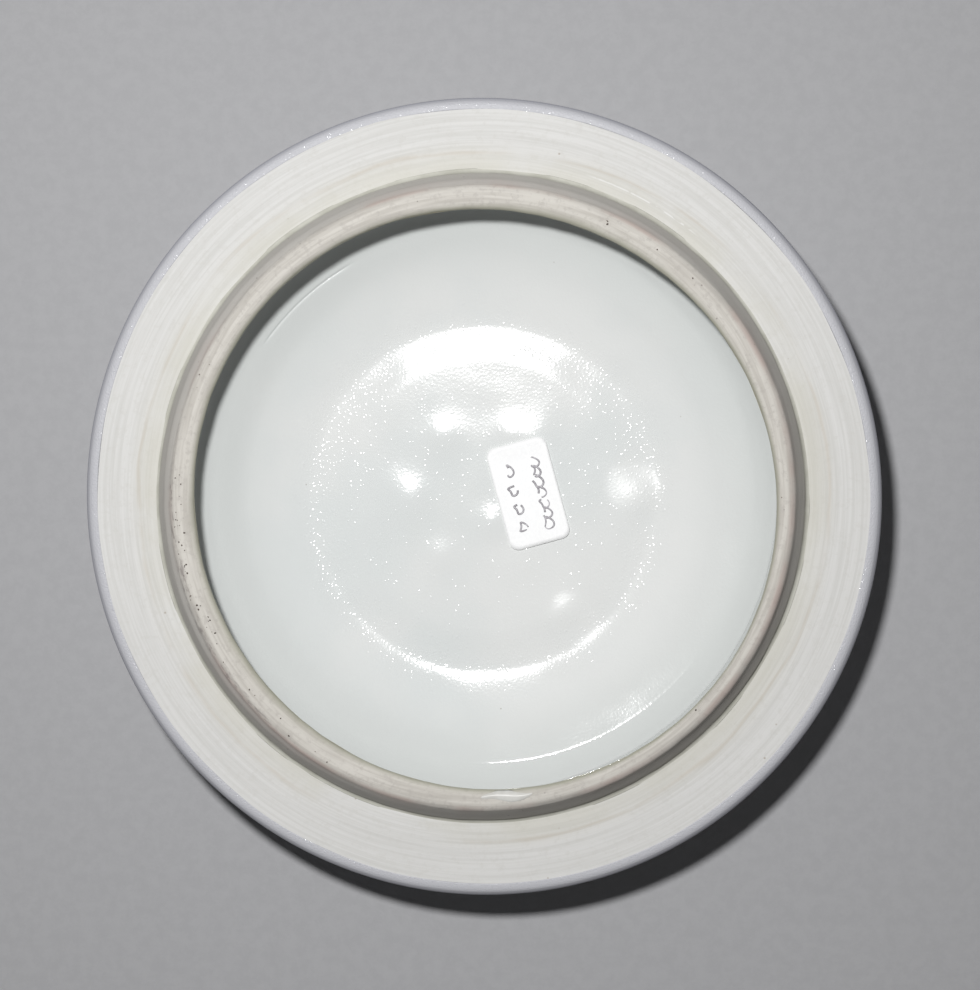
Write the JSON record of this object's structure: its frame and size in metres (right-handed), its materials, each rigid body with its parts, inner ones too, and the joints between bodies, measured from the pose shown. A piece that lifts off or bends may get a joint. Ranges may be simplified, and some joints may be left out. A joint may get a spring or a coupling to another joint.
{
  "type": "jar cover",
  "caption": "Shallow round porcelain jar cover, underside up: flat unglazed seat, raised locating collar, glazed hollow with a small paper label, low button knob.",
  "frame": {"origin": "middle of the knob's flat top, which the cover stands on", "axes": "+Z along the axis of revolution, from the knob towards the collar, so the underside faces up; +Y is the upper side of the view from above"},
  "size_m": [0.168, 0.168, 0.0297],
  "materials": {
    "bisque_porcelain": "unglazed, matt, faint turning lines and brown stains",
    "luting_slip": "unglazed, matt, slightly darker",
    "inside_glaze": "glossy pale grey-green with fine orange peel",
    "outside_glaze": "glossy bluish white",
    "grit": "dark burnt grains",
    "label_paper": "smooth white paper with grey pen marks",
    "label_glue": "thin translucent glue"
  },
  "bodies": {
    "root": {"cover_body": "bisque_porcelain", "locating_collar": "bisque_porcelain", "collar_luting_slip": "luting_slip", "knob": "bisque_porcelain", "knob_luting_slip": "luting_slip", "inner_glaze": "inside_glaze", "outer_glaze": "outside_glaze", "knob_glaze": "outside_glaze", "glaze_drip": "inside_glaze", "kiln_grit": "grit", "label_paper": "label_paper", "label_adhesive": "label_glue"}
  },
  "joints": []
}
